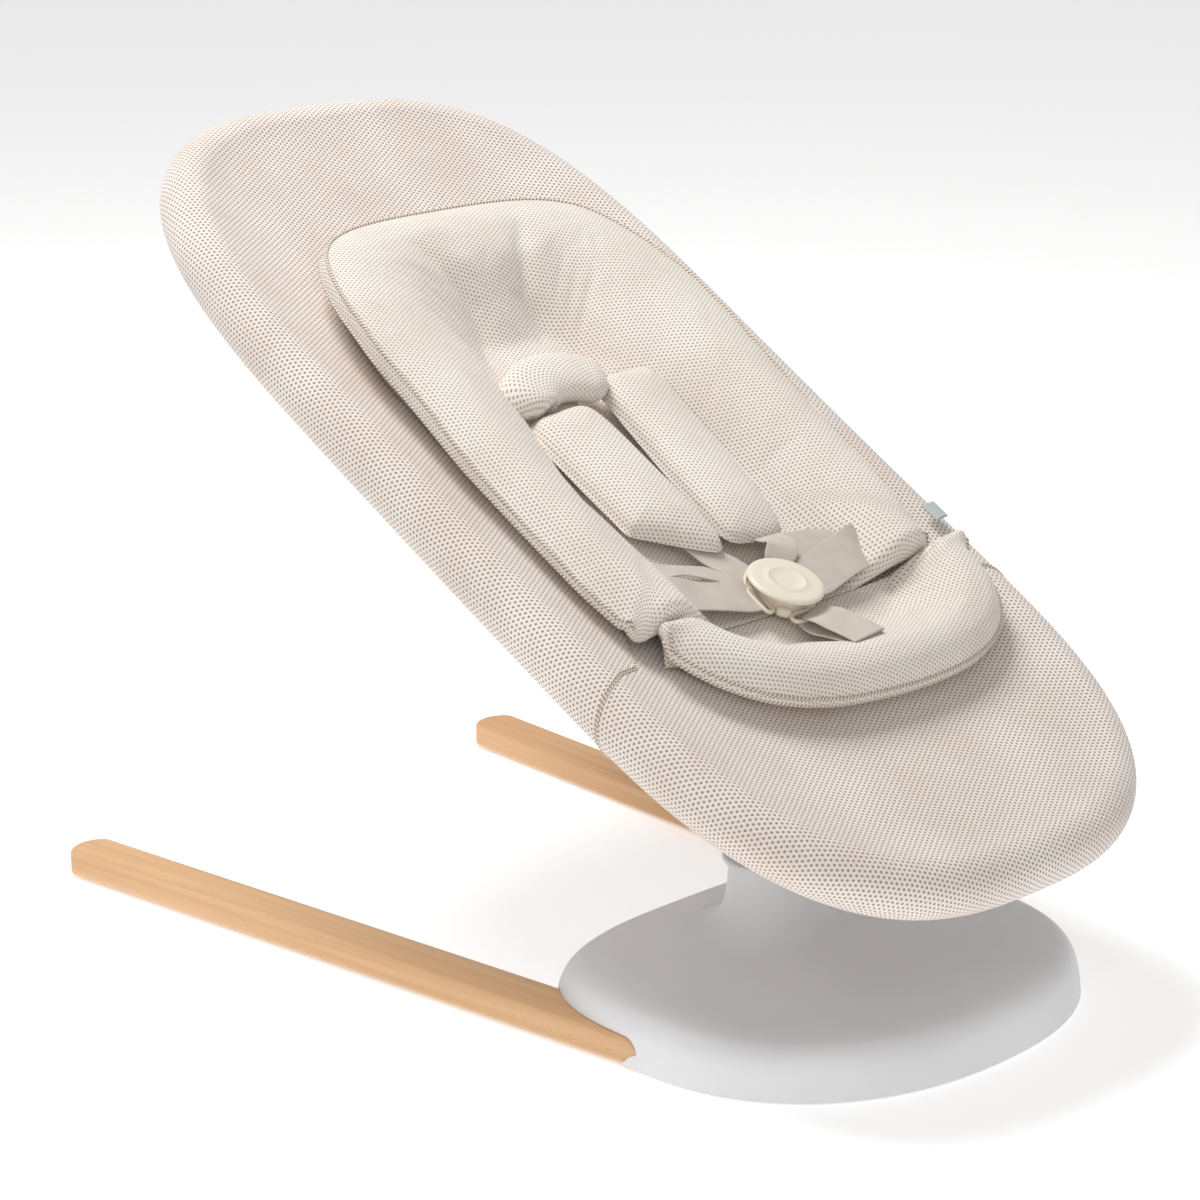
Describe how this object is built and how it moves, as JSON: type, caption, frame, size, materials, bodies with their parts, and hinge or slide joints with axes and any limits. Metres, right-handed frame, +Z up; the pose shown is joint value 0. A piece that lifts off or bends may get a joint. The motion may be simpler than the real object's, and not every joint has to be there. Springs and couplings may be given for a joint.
{
  "type": "bouncer seat",
  "caption": "Reclining baby bouncer: oval padded mesh seat with newborn insert and harness on a sprung hub, moulded base and two splayed wooden legs.",
  "frame": {"origin": "on the floor under the axis of the base's neck, on the middle of the centre grip pad's underside", "axes": "+X to the seat's left-hand side as its occupant sits and to the right in a front view, +Y towards the head end, +Z up"},
  "size_m": [0.4668, 0.7636, 0.5707],
  "materials": {
    "white_plastic": "matte",
    "light_grey_plastic": "matte",
    "grey_plastic": "matte",
    "ivory_plastic": "satin",
    "beech": "satin",
    "grip_rubber": "matte",
    "zinc_steel": "satin",
    "spring_steel": "satin",
    "cast_aluminium": "satin",
    "frame_aluminium": "satin",
    "rim_foam": "matte",
    "cover_mesh": "matte",
    "insert_mesh": "matte",
    "webbing": "satin",
    "tag_fabric": "matte"
  },
  "bodies": {
    "base": {"base_shell": "white_plastic", "base_bottom": "white_plastic", "centre_pad": "grip_rubber", "front_pad_left": "grip_rubber", "front_pad_right": "grip_rubber", "leg_left": "beech", "leg_right": "beech", "leg_grip_left": "grip_rubber", "leg_grip_right": "grip_rubber", "leg_screw_left_1": "zinc_steel", "leg_screw_left_2": "zinc_steel", "leg_screw_right_1": "zinc_steel", "leg_screw_right_2": "zinc_steel", "support_plate": "zinc_steel", "neck_post": "zinc_steel", "neck_collar": "white_plastic", "hub_yoke": "cast_aluminium", "recline_axle": "zinc_steel", "axle_clip": "zinc_steel", "lever_pin": "zinc_steel", "lock_spring": "zinc_steel"},
    "release_lever": {"release_lever": "grey_plastic"},
    "lock_plunger": {"lock_plunger": "zinc_steel"},
    "carrier": {"seat_carrier": "cast_aluminium", "bar_clamp": "cast_aluminium", "clamp_screw_left": "zinc_steel", "clamp_screw_right": "zinc_steel", "hub_cover_left": "light_grey_plastic", "hub_cover_right": "light_grey_plastic", "hub_cover_screw": "zinc_steel"},
    "seat": {"seat_frame": "frame_aluminium", "frame_foam": "rim_foam", "cross_tube_front": "frame_aluminium", "cross_tube_rear": "frame_aluminium", "spring_bar_left": "spring_steel", "spring_bar_right": "spring_steel", "bar_block_front": "grey_plastic", "bar_block_rear": "grey_plastic", "seat_cover": "cover_mesh", "infant_insert": "insert_mesh", "neck_pad": "insert_mesh", "shoulder_pad_left": "insert_mesh", "shoulder_pad_right": "insert_mesh", "shoulder_strap_left": "webbing", "shoulder_strap_right": "webbing", "waist_strap_left": "webbing", "waist_strap_right": "webbing", "crotch_strap": "webbing", "shoulder_tongue_left": "ivory_plastic", "shoulder_tongue_right": "ivory_plastic", "waist_tongue_left": "ivory_plastic", "waist_tongue_right": "ivory_plastic", "crotch_tongue": "ivory_plastic", "strap_slot_left": "ivory_plastic", "strap_slot_right": "ivory_plastic", "buckle_body": "ivory_plastic", "buckle_spring": "zinc_steel", "side_label": "tag_fabric"},
    "buckle_button": {"buckle_button": "ivory_plastic"}
  },
  "joints": [
    {"name": "seat_recline", "type": "hinge", "parent": "base", "child": "carrier", "pos_m": [0, 0, 0.14], "axis": [-1, 0, 0], "range_deg": [0, 18]},
    {"name": "seat_bounce", "type": "hinge", "parent": "carrier", "child": "seat", "pos_m": [0, -0.03464, 0.20048], "axis": [-1, 0, 0], "range_deg": [-3, 3], "stiffness_Nm_per_rad": 250, "springref_deg": -1.17},
    {"name": "lever_lift", "type": "hinge", "parent": "base", "child": "release_lever", "pos_m": [0, 0.014, 0.0971], "axis": [1, 0, 0], "range_deg": [0, 14]},
    {"name": "plunger_slide", "type": "slide", "parent": "base", "child": "lock_plunger", "axis": [0, 0, 1], "range_m": [-0.0048, 0], "stiffness_N_per_m": 600, "springref_m": 0.003, "deforming": ["lock_spring"]},
    {"name": "buckle_press", "type": "slide", "parent": "seat", "child": "buckle_button", "axis": [0, 0.497, -0.8678], "range_m": [0, 0.003], "stiffness_N_per_m": 1500, "springref_m": -0.001, "deforming": ["buckle_spring"]}
  ],
  "couplings": [
    {"joint": "lever_lift", "follows": "plunger_slide", "rad_per_m": -50.5}
  ]
}
